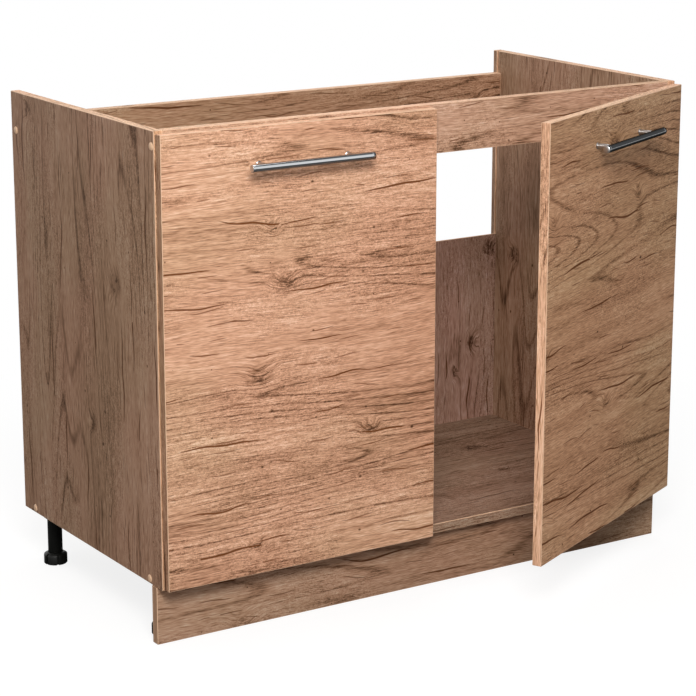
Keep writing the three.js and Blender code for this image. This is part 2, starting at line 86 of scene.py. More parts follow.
class Tree:
    """A short way to write a material's nodes: inputs are given by name, as values or sockets."""

    def __init__(self, owner):
        self.tree = owner.node_tree
        self.tree.nodes.clear()

    def node(self, kind, settings=None, **inputs):
        node = self.tree.nodes.new("ShaderNode" + kind)
        for key, value in (settings or {}).items():
            setattr(node, key, value)
        for key, value in inputs.items():
            self.put(node, key, value)
        return node

    def add(self, kind, out=0, settings=None, **inputs):
        return self.node(kind, settings, **inputs).outputs[out]

    def put(self, node, key, value):
        name = key.replace("_", " ")
        index = int(name[1:]) if name[0] == "i" and name[1:].isdigit() else name
        socket = node.inputs[index]
        if isinstance(value, bpy.types.NodeSocket):
            self.tree.links.new(value, socket)
        else:
            socket.default_value = value

    def math(self, operation, a, b=0.0, c=0.0, clamp=False):
        settings = {"operation": operation, "use_clamp": clamp}
        return self.add("Math", settings=settings, i0=a, i1=b, i2=c)

    def vector(self, operation, a, b):
        return self.add("VectorMath", settings={"operation": operation}, i0=a, i1=b)

    def smooth(self, value, low, high):
        """0 at low, 1 at high, with a soft change between them."""
        settings = {"interpolation_type": "SMOOTHSTEP"}
        return self.add("MapRange", settings=settings, Value=value, i1=low, i2=high)

    def mix(self, factor, a, b, blend="MIX"):
        settings = {"data_type": "RGBA", "blend_type": blend, "clamp_factor": True}
        return self.add("Mix", 2, settings, i0=factor, i6=a, i7=b)

    def noise(self, place, scale, detail=2.0, roughness=0.5, distortion=0.0):
        """Noise over place, whose three coordinates are scaled on their own."""
        scaled = self.vector("MULTIPLY", place, scale)
        return self.add("TexNoise", Vector=scaled, Scale=1.0, Detail=detail,
                        Roughness=roughness, Distortion=distortion)

    def finish(self, shader, kind="Material"):
        output = self.tree.nodes.new("ShaderNodeOutput" + kind)
        self.tree.links.new(shader, output.inputs[0])


def new_material(name):
    material = bpy.data.materials.new(name)
    material.use_nodes = True
    return material, Tree(material)


def principled(tree, **inputs):
    return tree.add("BsdfPrincipled", **inputs)


# ---------------------------------------------------------------- oak decor

# Tones of the decor from its lightest fibre to its darkest knot, by their darkness.
OAK_TONES = (
    (0.0, "#fbd8ba"),
    (0.3, "#e5b493"),
    (0.5, "#cf9d7c"),
    (0.68, "#b08264"),
    (0.86, "#876046"),
    (1.0, "#5a3b28"),
)
CRACK_TONE = "#68360c"
PATINA_TINTS = ((1.0, 0.985, 0.97, 1), (0.94, 0.985, 0.94, 1))
MIDDLE = 0.47                   # darkness of the decor where nothing marks it

# Layers of grain: scale along and across the grain, detail, and share of the darkness.
GRAIN_LAYERS = (
    ((1.6, 8.0), 3.0, 0.6),         # clouds
    ((1.4, 45.0), 3.0, 0.44),       # bands
    ((14.0, 520.0), 2.0, 0.72),     # fibres
    ((60.0, 900.0), 1.0, 1.0),      # pores
)
# The grain sways in waves and closes to eyes: scale of each, and its height in metres.
WAVES = ((0.9, 2.6, 0.8), 0.05)
EYES = ((3.4, 13.0, 0.8), 0.017)
KNOT_SWIRL = 0.014              # metres that the grain steps aside at a knot
GROWTH_CONTOURS = (0.75, 6.5, 0.6)
GROWTH_LINES = 26               # dark lines between the noise's lowest and highest value
GROWTH_WIDTH = 0.16             # half a line's width, as a share of the step between two
GROWTH_WEIGHT = 0.3
CRIMP = (230, 400, 20)          # scale of the saw marks
CRIMP_WEIGHT = 1.2
# Cracks: cell, least and most length, width, and the share of the cells that have one.
BIG_CRACKS = ((0.24, 0.05), (0.02, 0.085), 0.0024, 0.62)
HAIR_CRACKS = ((0.1, 0.027), (0.008, 0.034), 0.0014, 0.5)
HAIR_DEPTH = 0.75               # depth of a hair crack, where a big one has 1
CRACK_COVER = 0.94              # how fully a crack hides the decor under it
CRACK_SLANT, CRACK_WANDER = 0.12, 0.03
LEAST_CRACK = 3e-4              # metres from its middle line to its side, at its ends
# Knots and pin knots: cell, and least and further radius as a share of it.
KNOTS = ((0.25, 0.19), (0.09, 0.14))
PIN_KNOTS = ((0.09, 0.07), (0.012, 0.034))
KNOT_RAGGED = 0.85
KNOT_WEIGHT, FRET_WEIGHT, PIN_WEIGHT = 0.15, 0.3, 0.5
# What the bump takes from the grain and from the cracks, and how matt the decor is.
GRAIN_RELIEF, CRACK_RELIEF = -0.5, -0.8
LEAST_ROUGHNESS, DARK_ROUGHNESS = 0.39, 0.15
BOARD_GLOSS = 0.16
THROUGH = 1000                  # metres that a cell of a mosaic reaches through the board


def board_place(tree, axes, turn, seed):
    """Place on a board: first coordinate along the grain, second across it, third through."""
    coordinates = tree.add("TexCoord", 3)
    straight = tree.add("Mapping", Vector=coordinates, Rotation=(0, 0, -turn))
    split = tree.node("SeparateXYZ", i0=straight)
    picked = [split.outputs["XYZ".index(axis)] for axis in axes.upper()]
    place = tree.add("CombineXYZ", X=picked[0], Y=picked[1], Z=picked[2])
    return tree.vector("ADD", place, (3.71 * seed, 1.37 * seed, 0.53 * seed))


def scattered(t, place, cell):
    """A mosaic with one mark a cell: the place from the mark, and three random numbers."""
    size = (cell[0], cell[1], THROUGH)
    marks = t.node("TexVoronoi", Vector=t.vector("DIVIDE", place, size), Scale=1.0)
    mark = t.vector("MULTIPLY", marks.outputs["Position"], size)
    offset = t.node("SeparateXYZ", i0=t.vector("SUBTRACT", place, mark))
    lots = t.node("SeparateColor", i0=marks.outputs["Color"])
    return offset.outputs[0], offset.outputs[1], lots.outputs


def knot_field(t, place, cell, sizes, share):
    """Closeness to a knot, 1 at its middle, for the share of the cells that have one."""
    along, across, lots = scattered(t, place, cell)
    far = t.add("VectorMath", 1, {"operation": "LENGTH"},
                i0=t.add("CombineXYZ", X=t.math("DIVIDE", along, cell[0]),
                         Y=t.math("DIVIDE", across, cell[1])))
    uneven = t.noise(place, (25, 40, 5), 2.0, 0.6)
    ragged = t.math("MULTIPLY_ADD", t.math("SUBTRACT", uneven, 0.5), sizes[1] * KNOT_RAGGED, far)
    size = t.math("MULTIPLY_ADD", lots[1], sizes[1], sizes[0])
    inside = t.math("SUBTRACT", 1.0, t.math("DIVIDE", ragged, size), clamp=True)
    return t.math("MULTIPLY", inside, t.math("LESS_THAN", lots[0], share))


def crack_field(t, flow, cell, lengths, width, share):
    """Long thin cracks along the grain: 1 on the middle line, 0 from the side on."""
    along, across, lots = scattered(t, flow, cell)
    wander = t.noise(flow, (9, 4, 1), 1.0, 0.5)
    slope = t.math("MULTIPLY", t.math("SUBTRACT", lots[0], 0.5), CRACK_SLANT)
    line = t.math("MULTIPLY_ADD", along, slope, across)
    bent = t.math("MULTIPLY_ADD", t.math("SUBTRACT", wander, 0.5), CRACK_WANDER, line)
    length = t.math("MULTIPLY_ADD", lots[2], lengths[1] - lengths[0], lengths[0])
    ratio = t.math("DIVIDE", along, length)
    taper = t.math("SUBTRACT", 1.0, t.math("MULTIPLY", ratio, ratio), clamp=True)
    strength = t.math("MULTIPLY_ADD", lots[2], 0.6, 0.4)
    half = t.math("MULTIPLY_ADD", t.math("MULTIPLY", taper, strength), width, LEAST_CRACK)
    depth = t.math("SUBTRACT", 1.0, t.math("DIVIDE", t.math("ABSOLUTE", bent), half), clamp=True)
    chosen = t.math("LESS_THAN", lots[1], share)
    open_here = t.math("MULTIPLY", chosen, t.smooth(taper, 0.0, 0.35))
    return t.math("MULTIPLY", t.smooth(depth, 0.0, 0.7), open_here)


def oak(name, axes, seed, painted_lighting, turn=0.0, knots=0.5, cracks=1.0):
    """The decor with its grain along the first of the three axes given."""
    material, t = new_material(name)
    place = board_place(t, axes, turn, seed)
    knot = knot_field(t, place, *KNOTS, knots)
    pin = t.smooth(knot_field(t, place, *PIN_KNOTS, knots * 0.8), 0.0, 0.7)

    # The grain flows in slow waves that close to eyes here and there, and goes round the knots.
    wave = t.math("SUBTRACT", t.noise(place, WAVES[0], 1.0, 0.4), 0.5)
    gentle = t.vector("ADD", place, t.add("CombineXYZ", Y=t.math("MULTIPLY", wave, WAVES[1])))
    eyes = t.math("SUBTRACT", t.noise(place, EYES[0], 2.0, 0.5), 0.5)
    round_knot = t.smooth(knot, 0.0, 1.0)
    turned = t.math("MULTIPLY_ADD", round_knot, KNOT_SWIRL, t.math("MULTIPLY", eyes, EYES[1]))
    flow = t.vector("ADD", gentle, t.add("CombineXYZ", Y=turned))

    darkness = MIDDLE
    for (long, wide), detail, weight in GRAIN_LAYERS:
        layer = t.math("SUBTRACT", t.noise(flow, (long, wide, 1), detail, 0.6), 0.5)
        darkness = t.math("MULTIPLY_ADD", layer, weight, darkness)
    fine = layer

    # Growth lines follow the contours of a slow noise, and show in some places only.
    contour = t.math("MULTIPLY", t.noise(flow, GROWTH_CONTOURS, 1.0, 0.35), GROWTH_LINES)
    beside = t.smooth(t.math("PINGPONG", contour, 0.5), 0.0, GROWTH_WIDTH)
    line = t.math("SUBTRACT", 1.0, beside)
    shown = t.smooth(t.noise(place, (2.6, 10.0, 1), 2.0), 0.4, 0.6)
    lines = t.math("MULTIPLY", line, shown)
    darkness = t.math("MULTIPLY_ADD", lines, GROWTH_WEIGHT, darkness)

    # Saw marks crimp the fibres in patches, and pin knots dot them.
    patch = t.smooth(t.noise(place, (4, 9, 1), 2.0), 0.42, 0.58)
    crimp = t.math("SUBTRACT", t.noise(place, CRIMP, 2.0, 0.7, 1.0), 0.5)
    darkness = t.math("MULTIPLY_ADD", t.math("MULTIPLY", patch, crimp), CRIMP_WEIGHT, darkness)
    darkness = t.math("MULTIPLY_ADD", pin, PIN_WEIGHT, darkness)

    # Knots are dark in their core, and darkest in the frets of it.
    frets = t.smooth(t.noise(place, (70, 110, 20), 3.0, 0.7, 1.2), 0.42, 0.62)
    core = t.smooth(knot, 0.35, 0.9)
    darkness = t.math("MULTIPLY_ADD", core, KNOT_WEIGHT, darkness)
    darkness = t.math("MULTIPLY_ADD", t.math("MULTIPLY", core, frets), FRET_WEIGHT, darkness)

    tones = t.node("ValToRGB", Fac=darkness)
    ramp = tones.color_ramp.elements
    while len(ramp) < len(OAK_TONES):
        ramp.new(1.0)
    for element, (position, code) in zip(ramp, OAK_TONES):
        element.position = position
        element.color = paint(code)
    patina = t.smooth(t.noise(place, (2.2, 5.0, 1), 2.0), 0.4, 0.62)
    tint = t.mix(patina, *PATINA_TINTS)
    tone = t.mix(1.0, tones.outputs[0], tint, "MULTIPLY")

    big = crack_field(t, gentle, *BIG_CRACKS[:3], BIG_CRACKS[3] * cracks)
    hair = crack_field(t, gentle, *HAIR_CRACKS[:3], HAIR_CRACKS[3] * cracks)
    split = t.math("MAXIMUM", big, t.math("MULTIPLY", hair, HAIR_DEPTH))
    tone = t.mix(t.math("MULTIPLY", split, CRACK_COVER), tone, paint(CRACK_TONE))
    # The tint is painted light and shade: each board of the one decor is made lighter or darker by
    # how the lamps fall on it.
    colour = t.mix(1.0, tone, (*painted_lighting, 1), "MULTIPLY")

    relief = t.math("MULTIPLY_ADD", t.math("MULTIPLY", patch, crimp), GRAIN_RELIEF,
                    t.math("MULTIPLY", fine, GRAIN_RELIEF))
    height = t.math("MULTIPLY_ADD", split, CRACK_RELIEF, relief)
    bump = t.add("Bump", Strength=0.35, Distance=0.0005, Height=height)
    rough = t.math("MULTIPLY_ADD", darkness, DARK_ROUGHNESS, LEAST_ROUGHNESS)
    t.finish(principled(t, Base_Color=colour, Roughness=rough, Normal=bump,
                        Specular_IOR_Level=BOARD_GLOSS))
    return material


# ---------------------------------------------------------------- plain finishes

SMUDGES = 0.08                  # change of a metal's roughness from place to place
MOTTLE = 0.1                    # the same for plastic


def metal(name, code, roughness, grain=0.0, rim="#ffffff"):
    """A metal of one colour, whose rim is the colour at a glancing angle."""
    material, t = new_material(name)
    place = t.add("TexCoord", 3)
    smudge = t.noise(place, (60, 60, 60), 3.0)
    fine = t.noise(place, (900, 900, 900), 2.0)
    rough = t.math("MULTIPLY_ADD", smudge, SMUDGES, roughness - SMUDGES / 2)
    bump = t.add("Bump", Strength=grain, Distance=0.00005, Height=fine)
    t.finish(principled(t, Base_Color=paint(code), Metallic=1.0, Roughness=rough, Normal=bump,
                        Specular_Tint=paint(rim)))
    return material


def plastic(name, code, roughness):
    """A plastic with a fine texture, a little darker in places."""
    material, t = new_material(name)
    place = t.add("TexCoord", 3)
    mottle = t.noise(place, (40, 40, 40), 3.0)
    texture = t.noise(place, (1400, 1400, 1400), 2.0)
    dark = [0.8 * part for part in linear(code)]
    colour = t.mix(mottle, paint(code), (*dark, 1))
    rough = t.math("MULTIPLY_ADD", mottle, MOTTLE, roughness - MOTTLE / 2)
    bump = t.add("Bump", Strength=0.2, Distance=0.0001, Height=texture)
    t.finish(principled(t, Base_Color=colour, Roughness=rough, Normal=bump,
                        Specular_IOR_Level=0.35))
    return material


CHROME = metal("chrome", "#cfd1d3", 0.07, rim="#303030")
BRIGHT_CHROME = metal("bright_chrome", "#c2c2c2", 0.3)
STEEL = metal("nickel_plate", "#b4b3af", 0.24, 0.25)
ZINC = metal("zinc_plate", "#a9acb0", 0.3, 0.25)
BLACK = plastic("black_plastic", "#111210", 0.4)
CAP = plastic("cap_plastic", "#e2bc9b", 0.34)

# ---------------------------------------------------------------- forms

# These forms are drawn in millimetres, shut and right-handed as the CAD source draws them.
MM = 0.001
WELD = 0.001                    # points closer than this are one
FINE = 48                       # sides of a round form
TOWARDS = {
    "x": Matrix.Rotation(math.radians(90), 4, "Y"),
    "-x": Matrix.Rotation(math.radians(-90), 4, "Y"),
    "y": Matrix.Rotation(math.radians(-90), 4, "X"),
    "-y": Matrix.Rotation(math.radians(90), 4, "X"),
    "z": Matrix.Identity(4),
}


def lathe(profile, axis="z", place=(0, 0, 0), sides=FINE):
    """A closed form of [radius, height] points, turned about an axis through a place."""
    form = bmesh.new()
    rings = []
    for radius, height in profile:
        angles = [2 * math.pi * k / sides for k in range(sides if radius else 1)]
        rings.append([form.verts.new((radius * math.cos(a), radius * math.sin(a), height))
                      for a in angles])
    for low, high in zip(rings, rings[1:]):
        for k in range(sides):
            corners = [low[k % len(low)], low[(k + 1) % len(low)],
                       high[(k + 1) % len(high)], high[k % len(high)]]
            form.faces.new(list(dict.fromkeys(corners)))
    bmesh.ops.recalc_face_normals(form, faces=form.faces)
    form.transform(Matrix.Translation(place) @ TOWARDS[axis])
    return form


def block(low, high, rounding=0.0, edges_along="z"):
    """A block, whose edges along one axis can be rounded."""
    form = bmesh.new()
    size = Vector(high) - Vector(low)
    bmesh.ops.create_cube(form, size=1)
    form.transform(Matrix.Translation((Vector(low) + Vector(high)) / 2)
                   @ Matrix.Diagonal((*size, 1)))
    if rounding:
        index = "xyz".index(edges_along)
        edges = [e for e in form.edges
                 if abs((e.verts[0].co - e.verts[1].co)[index]) > size[index] / 2]
        bmesh.ops.bevel(form, geom=edges, offset=rounding, segments=6, profile=0.5,
                        affect="EDGES", clamp_overlap=True)
    return form


def as_mesh(form, name):
    mesh = bpy.data.meshes.new(name)
    form.to_mesh(mesh)
    form.free()
    return mesh


def merged(*forms):
    """Several closed forms in one."""
    together = bmesh.new()
    for form in forms:
        mesh = as_mesh(form, "merged")
        together.from_mesh(mesh)
        bpy.data.meshes.remove(mesh)
    return together


def changed(operation, base, *tools):
    """The base joined with the tools, or with the tools cut away from it."""
    items = [bpy.data.objects.new("form", as_mesh(form, "form")) for form in (base, *tools)]
    for item in items:
        scene.collection.objects.link(item)
    for tool in items[1:]:
        change = items[0].modifiers.new("change", "BOOLEAN")
        change.operation = operation
        change.solver = "EXACT"
        change.object = tool
    graph = bpy.context.evaluated_depsgraph_get()
    result = bmesh.new()
    result.from_mesh(items[0].evaluated_get(graph).to_mesh())
    bmesh.ops.remove_doubles(result, verts=result.verts, dist=WELD)
    bmesh.ops.dissolve_degenerate(result, dist=WELD, edges=result.edges)
    for item in items:
        bpy.data.objects.remove(item)
    return result


MIRROR = {"left": Matrix.Diagonal((-1, 1, 1, 1)), "right": Matrix.Identity(4)}
SMOOTH_BELOW = math.radians(35)


def add_piece(name, body, form, finish, side="right", place=Matrix.Identity(4), nodes=()):
    """A new piece, for one side of the cabinet, moved from its drawn place to its rest place."""
    form.transform(place @ MIRROR[side] @ Matrix.Scale(MM, 4))
    if side == "left":
        bmesh.ops.reverse_faces(form, faces=form.faces)
    mesh = as_mesh(form, name)
    mesh.shade_smooth()
    mesh.set_sharp_from_angle(angle=SMOOTH_BELOW)
    mesh.materials.append(finish)
    piece = bpy.data.objects.new(name, mesh)
    scene.collection.objects.link(piece)
    if nodes:
        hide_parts(*nodes)
    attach(piece, body)
    return piece


RECESS_WIDTH = 1.1
RECESS_DEPTH = 1.0


def screw_head(radius, height, axis, place):
    """A low domed head with a cross recess, standing on a place."""
    head = lathe([(0, 0), (radius, 0), (radius, height * 0.35), (radius * 0.93, height * 0.62),
                  (radius * 0.75, height * 0.85), (radius * 0.4, height), (0, height)])
    arm = radius * 0.55
    half = RECESS_WIDTH / 2
    top = height + 0.5
    low = height - min(RECESS_DEPTH, height * 0.7)
    head = changed("DIFFERENCE", head, block((-arm, -half, low), (arm, half, top)),
                   block((-half, -arm, low), (half, arm, top)))
    head.transform(Matrix.Translation(place) @ TOWARDS[axis])
    return head


# ---------------------------------------------------------------- boards

DOOR_TURN = math.radians(26.15)
EDGE_ROUND = 0.0009             # rounding of a board's edges
LEAST_BOARD_EDGE = 0.009        # shorter edges, as in the bores, stay sharp
SHARP = math.radians(40)
FLAT = math.radians(1)          # faces that meet at less are one
JOIN = 1e-6                     # metres between points that are one


def dressed(node, name, body, rounding, least_edge):
    """A copy of a CAD node's mesh with clean faces and rounded edges, in the node's place."""
    form = bmesh.new()
    form.from_mesh(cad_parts[node].data)
    bmesh.ops.remove_doubles(form, verts=form.verts, dist=JOIN)
    bmesh.ops.dissolve_limit(form, angle_limit=FLAT, verts=form.verts, edges=form.edges)
    sharp = [e for e in form.edges if len(e.link_faces) == 2 and e.calc_face_angle() > SHARP
             and e.calc_length() > least_edge]
    bmesh.ops.bevel(form, geom=sharp, offset=rounding, segments=2, profile=0.5,
                    affect="EDGES", clamp_overlap=True)
    bmesh.ops.dissolve_degenerate(form, dist=JOIN, edges=form.edges)
    mesh = as_mesh(form, name)
    mesh.materials.clear()
    piece = bpy.data.objects.new(name, mesh)
    scene.collection.objects.link(piece)
    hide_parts(node)
    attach(piece, body)
    return piece


def chipboard():
    """Raw chipboard: pale flakes and darker splinters."""
    material, t = new_material("chipboard")
    place = t.add("TexCoord", 3)
    flakes = t.node("TexVoronoi", Vector=t.vector("MULTIPLY", place, (300, 300, 420)), Scale=1.0)
    splinters = t.noise(place, (500, 500, 800), 3.0, 0.7)
    lot = t.node("SeparateColor", i0=flakes.outputs["Color"]).outputs[0]
    tone = t.mix(lot, paint("#d8b98e"), paint("#a98357"))
    tone = t.mix(t.smooth(splinters, 0.5, 0.68), tone, paint("#6e4e30"))
    bump = t.add("Bump", Strength=0.6, Distance=0.0005, Height=splinters)
    t.finish(principled(t, Base_Color=tone, Roughness=0.85, Normal=bump, Specular_IOR_Level=0.2))
    return material


CHIPBOARD = chipboard()
# Painted highlight: the rounded edges of the boards take a flat cream colour for the glint along
# them.
PAINTED_EDGE_HIGHLIGHT = plastic("edging_painted_highlight", "#e6c0a0", 0.42)
RAW_SIDE = Vector((0, 1, 0))            # carcass boards have no edging towards the wall
TOP_PAINTED_LIGHT = (1.3, 1.42, 1.52)           # painted light on edging that faces up, the palest
# Leans of a polygon against the way through the board: more is a face, less is an edge.
FACE_LEAN, EDGE_LEAN = 0.98, 0.2
RAW_LEAN = 0.9                          # and towards the wall, for the raw edges
FACE, EDGE, ROUNDING, RAW, PAINTED_LIT_TOP = range(5)


def board(node, body, face, edge, thin="y", turn=0.0):
    """A faced board: its faces, its edges and the rounding between them each take a material, the
    rounding a painted highlight.
    """
    piece = dressed(node, node + "_board", body, EDGE_ROUND, LEAST_BOARD_EDGE)
    top = oak("oak_painted_lit_top_" + node, "yxz" if thin == "x" else "xyz", len(node), TOP_PAINTED_LIGHT, turn,
              knots=0, cracks=0)
    for material in (face, edge, PAINTED_EDGE_HIGHLIGHT, CHIPBOARD, top):
        piece.data.materials.append(material)
    through = Matrix.Rotation(turn, 3, "Z") @ Vector([float(axis == thin) for axis in "xyz"])
    for polygon in piece.data.polygons:
        lean = abs(polygon.normal.dot(through))
        kind = FACE if lean > FACE_LEAN else EDGE if lean < EDGE_LEAN else ROUNDING
        if body == "carcass" and thin != "y" and polygon.normal.dot(RAW_SIDE) > RAW_LEAN:
            kind = RAW
        # Edging that faces up takes a paler tint, painted light from above.
        if thin != "z" and polygon.normal.z > FACE_LEAN:
            kind = PAINTED_LIT_TOP
        polygon.material_index = kind


for index, side in enumerate(("left", "right")):
    # Painted shade: the sides are tinted darker than the doors and their edges lighter, by how light
    # falls on them.
    board("side_panel_" + side, "carcass",
          oak("oak_side_" + side, "zyx", 1 + index, (0.54, 0.57, 0.61)),
          oak("oak_side_edge_" + side, "zxy", 11 + index, (1.0, 1.02, 1.02), knots=0), thin="x")
    turn = index * DOOR_TURN
    # Painted light and shade: the right door, turned from the key lamp, is tinted darker, the left
    # door's hinge edge painted dark and the right door's free edge painted light.
    painted_lighting = ((0.96, 0.97, 1.02), (0.84, 0.84, 0.79))[index]
    edge_painted_lighting = ((0.54, 0.52, 0.5), (0.98, 1.06, 1.12))[index]
    board("door_" + side, "door_leaf_" + side,
          oak("oak_door_" + side, "xzy", 3 + index, painted_lighting, turn),
          oak("oak_door_edge_" + side, "zyx", 13 + index, edge_painted_lighting, turn, knots=0), turn=turn)
# Painted shade: each carcass board is tinted darker as the lamps reach it less, the bottom panel
# most.
CARCASS = {
    "bottom_panel": ("xyz", "xzy", 6, (0.41, 0.44, 0.49), "z"),
    "front_rail": ("xzy", "xyz", 7, (0.85, 0.93, 1.05), "y"),
    "rear_rail": ("xzy", "xyz", 8, (0.64, 0.66, 0.66), "y"),
    "plinth_board": ("xzy", "xyz", 9, (0.6, 0.64, 0.68), "y"),
}
EDGE_PAINTED_LIGHT = 1.2                 # edging painted a little lighter than the faces, as painted light
for node, (axes, edge_axes, seed, painted_lighting, thin) in CARCASS.items():
    edge_painted_lighting = [EDGE_PAINTED_LIGHT * part for part in painted_lighting]
    board(node, "carcass", oak("oak_" + node, axes, seed, painted_lighting),
          oak(f"oak_{node}_edge", edge_axes, seed + 10, edge_painted_lighting, knots=0), thin=thin)
# Painted shade: the back panel is tinted darker and bluer, as the shade inside the cabinet.
board("back_panel", "carcass", oak("oak_back", "zxy", 10, (0.62, 0.67, 0.84)),
      oak("oak_back_edge", "zyx", 20, (0.6, 0.6, 0.6), knots=0))

# ---------------------------------------------------------------- fittings

# Places and sizes of the CAD source, in millimetres, on the right-hand side.
HALF_WIDTH, INNER_X, FRONT_Y = 500, 484, -28
DOOR_EDGE_X, DOOR_BACK_Y, DOOR_FACE_Y = 498.5, -30, -46
DOOR_MIDDLE_X, DOOR_LOW = 250.5, (2.5, -46, 98.5)
HANDLE_Y, HANDLE_Z = -76, 753.5
BAR_HALF, BAR_RADIUS = 110, 6
POST_SINK = 4                   # from the bar's middle line to the post's end
POST_XS = {"inner": 170.5, "outer": 330.5}
HINGE_ZS = {"lower": 208.5, "upper": 701.5}
CUP_X = 477
WING_INSET, WING_HALF, WING_REACH = 9.5, 6.5, 29
CUP_SCREW_REACH = 22.5
ARM_SCREWS = (46, 28)           # behind the front edge
PLATE_SCREW_BACK, PLATE_SCREW_REACH = 37, 16
PIN_X, PIN_Y = 491, -32.8       # the pin that turns in the cup
PIN_RADIUS, PIN_GAP = 1.2, 0.1
PIN_HALF, PIN_TRIM = 9, 0.8     # half its length, and what is taken off each end


def door_place(side, turn):
    """The move from a door's drawn place, shut, to its place at rest."""
    back = Matrix.Rotation(-turn, 4, "Z")
    corners = [back @ vertex.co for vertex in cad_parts["door_" + side].data.vertices]
    low = Vector([min(corner[k] for corner in corners) for k in range(3)])
    drawn = Vector(DOOR_LOW) * MM
    if side == "left":
        drawn.x = -DOOR_EDGE_X * MM
    return Matrix.Rotation(turn, 4, "Z") @ Matrix.Translation(low - drawn)


def handle_bar():
    """A round bar with eased ends and a fine groove near each."""
    half, radius = BAR_HALF, BAR_RADIUS
    end = [(0, half + 0.2), (3.5, half + 0.15), (radius - 1, half - 0.1), (radius - 0.3, half - 0.5),
           (radius, half - 1.2), (radius, half - 6), (radius - 0.25, half - 6.2),
           (radius - 0.25, half - 6.6), (radius, half - 6.8)]
    profile = [(r, -h) for r, h in end] + [(r, h) for r, h in reversed(end)]
    return lathe(profile, "x", (DOOR_MIDDLE_X, HANDLE_Y, HANDLE_Z), 64)


def handle_post(x):
    """A round post with a ring at its foot, standing on the door."""
    length = DOOR_FACE_Y - HANDLE_Y - POST_SINK
    return lathe([(0, 0), (5.2, 0), (5.2, 0.9), (4.7, 1.4), (4.15, 1.7), (4, 2.2), (4, length),
                  (0, length)], "-y", (x, DOOR_FACE_Y, HANDLE_Z))


def handle_screw(x):
    """The screw that holds a post from the door's inner side."""
    shank = lathe([(0, -26), (1.6, -26), (2, -25.4), (2, 0.4), (0, 0.4)], "y",
                  (x, DOOR_BACK_Y - 2.4, HANDLE_Z))
    return merged(screw_head(4.25, 2.4, "y", (x, DOOR_BACK_Y - 2.4, HANDLE_Z)), shank)


def hinge_cup(z):
    """A pressed cup with a flange, two wings and the notch that the links pass."""
    face = DOOR_BACK_Y + 0.3
    bowl = lathe([(0, -11.5), (14.8, -11.5), (16.9, -10.6), (17.5, -9), (17.5, 0), (18.5, 0),
                  (18.5, 0.9), (18.1, 1.3), (17.6, 1.4), (16.4, 1.4), (16, 1), (16, -7.6),
                  (15, -9.4), (13, -10.3), (0, -10.3)], "y", (CUP_X, face, z), 64)
    wing_x = CUP_X - WING_INSET
    wings = block((wing_x - WING_HALF, face + 0.05, z - WING_REACH),
                  (wing_x + WING_HALF, face + 1.3, z + WING_REACH), 5.5, "y")
    mouth = lathe([(0, -10.2), (15.9, -10.2), (15.9, 3), (0, 3)], "y", (CUP_X, face, z), 64)
    wings = changed("DIFFERENCE", wings, mouth)
    cup = changed("UNION", bowl, wings)
    notch = block((CUP_X + 8.75, DOOR_BACK_Y - 5, z - 6.6), (CUP_X + 19.5, face + 2.4, z + 6.6))
    half = PIN_HALF - PIN_TRIM + PIN_GAP
    pin_bore = lathe([(0, -half), (PIN_RADIUS + PIN_GAP, -half), (PIN_RADIUS + PIN_GAP, half),
                      (0, half)], "z", (PIN_X, PIN_Y, z), 24)
    cup = changed("DIFFERENCE", cup, notch, pin_bore)
    screws = [screw_head(4, 1.9, "y", (wing_x, face + 0.8, z + end * CUP_SCREW_REACH))
              for end in (-1, 1)]
    return merged(cup, *screws)


def confirmat(y, z):
    """A furniture screw from the tip to its domed cap."""
    thread = []
    for turn in range(10):
        height = -46 + 3.2 * turn
        thread += [(2.1, height), (2.7, height + 0.5), (2.7, height + 0.8), (2.1, height + 1.3)]
    profile = [(0, -50), (1.2, -49.6), (2.1, -47.5), *thread, (2.4, -15), (3.5, -14.5), (3.5, -4),
               (4.75, -3.5), (4.75, 0), (6.5, 0), (6.5, 0.25), (6.3, 0.5), (5.6, 1.1),
               (4.8, 1.6), (3.6, 1.95), (2, 2.1), (0, 2.15)]
    return lathe(profile, "x", (HALF_WIDTH, y, z), 36)


LEG_X = 466
LEG_YS = {"front": 34, "rear": 429}
FLANGE_HOLES, HOLE_CIRCLE = 4, 22.6
FOOT_NOTCHES, FOOT_TURN = 6, 14 - 90    # degrees from +X to the first notch


def leg_tube(y):
    """The flange, with its four screw holes, and the tube under it."""
    form = lathe([(0, 7.5), (11.4, 7.5), (12.1, 7.8), (12.5, 8.5), (12.5, 78.2), (13.2, 79.4),
                  (19.4, 84.6), (20, 85.5), (20, 92.2), (20.8, 93), (24.4, 93), (25, 93.5),
                  (25, 95.6), (24.6, 96), (0, 96)], "z", (LEG_X, y, 0))
    holes = []
    for corner in range(FLANGE_HOLES):
        angle = math.radians(45 + 90 * corner)
        place = (LEG_X + HOLE_CIRCLE * math.cos(angle), y + HOLE_CIRCLE * math.sin(angle), 92)
        holes.append(lathe([(0, 0), (1.5, 0), (1.5, 5), (0, 5)], "z", place, 20))
    return changed("DIFFERENCE", form, *holes)


def leg_foot(y):
    """A cup with a bevelled shoulder and six grip notches."""
    cup = lathe([(0, 0), (17.2, 0), (19.1, 0.3), (20, 1.2), (20, 15.6), (19.6, 16.6),
                 (14.9, 19.7), (14.4, 20), (13.1, 20), (12.8, 19.7), (12.8, 3), (0, 3)],
                "z", (LEG_X, y, 0), 72)
    notches = []
    for index in range(FOOT_NOTCHES):
        notch = block((15.6, -1.9, -1), (21, 1.9, 21), 0.6, "z")
        notch.transform(Matrix.Translation((LEG_X, y, 0))
                        @ Matrix.Rotation(math.radians(FOOT_TURN + 60 * index), 4, "Z"))
        notches.append(notch)
    return changed("DIFFERENCE", cup, *notches)


SHEET_ROUND, CLIP_ROUND = 0.00025, 0.0004
LEAST_PART_EDGE = 0.0015        # shorter edges, as of pins, stay sharp
SMOOTH_PART_BELOW = math.radians(50)


